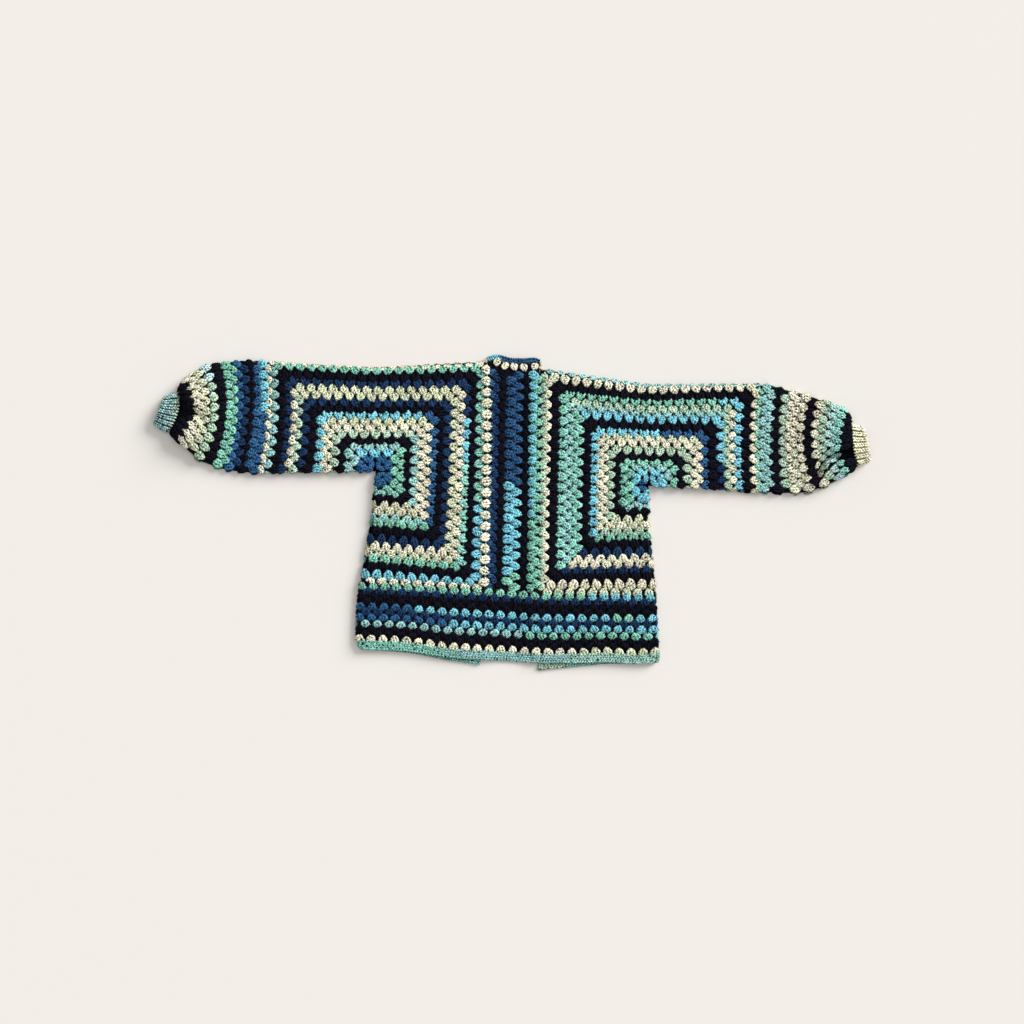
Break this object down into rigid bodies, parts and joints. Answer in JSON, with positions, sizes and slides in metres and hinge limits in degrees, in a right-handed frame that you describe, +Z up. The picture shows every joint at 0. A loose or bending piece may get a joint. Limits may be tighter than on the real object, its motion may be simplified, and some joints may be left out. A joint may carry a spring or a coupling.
{
  "type": "crocheted cardigan",
  "caption": "Crocheted hexagon cardigan of striped granny clusters, laid flat with its back up, long sleeves with ribbed cuffs, open front.",
  "frame": {"origin": "on the surface that the garment lies on, under the middle of its box", "axes": "+X from the viewer's left sleeve to the right one, +Y from the hem to the neck, +Z up, away from the surface; the back of the garment faces +Z"},
  "size_m": [1.3955, 0.6153, 0.0359],
  "materials": {
    "yarn_hexagon_left": "matt crocheted yarn",
    "yarn_hexagon_right": "matt crocheted yarn",
    "yarn_centre": "matt crocheted yarn",
    "yarn_border": "matt crocheted yarn",
    "yarn_hem": "matt crocheted yarn",
    "yarn_sleeve_left": "matt crocheted yarn",
    "yarn_sleeve_right": "matt crocheted yarn",
    "yarn_cuff_left": "matt crocheted yarn",
    "yarn_cuff_right": "matt crocheted yarn",
    "yarn_front_band": "matt crocheted yarn"
  },
  "bodies": {
    "root": {"hexagon_left": "yarn_hexagon_left", "hexagon_right": "yarn_hexagon_right", "centre_back_panel": "yarn_centre", "body_border": "yarn_border", "hem_band": "yarn_hem", "sleeve_left": "yarn_sleeve_left", "sleeve_right": "yarn_sleeve_right", "cuff_left": "yarn_cuff_left", "cuff_right": "yarn_cuff_right", "front_band": "yarn_front_band"}
  },
  "joints": []
}
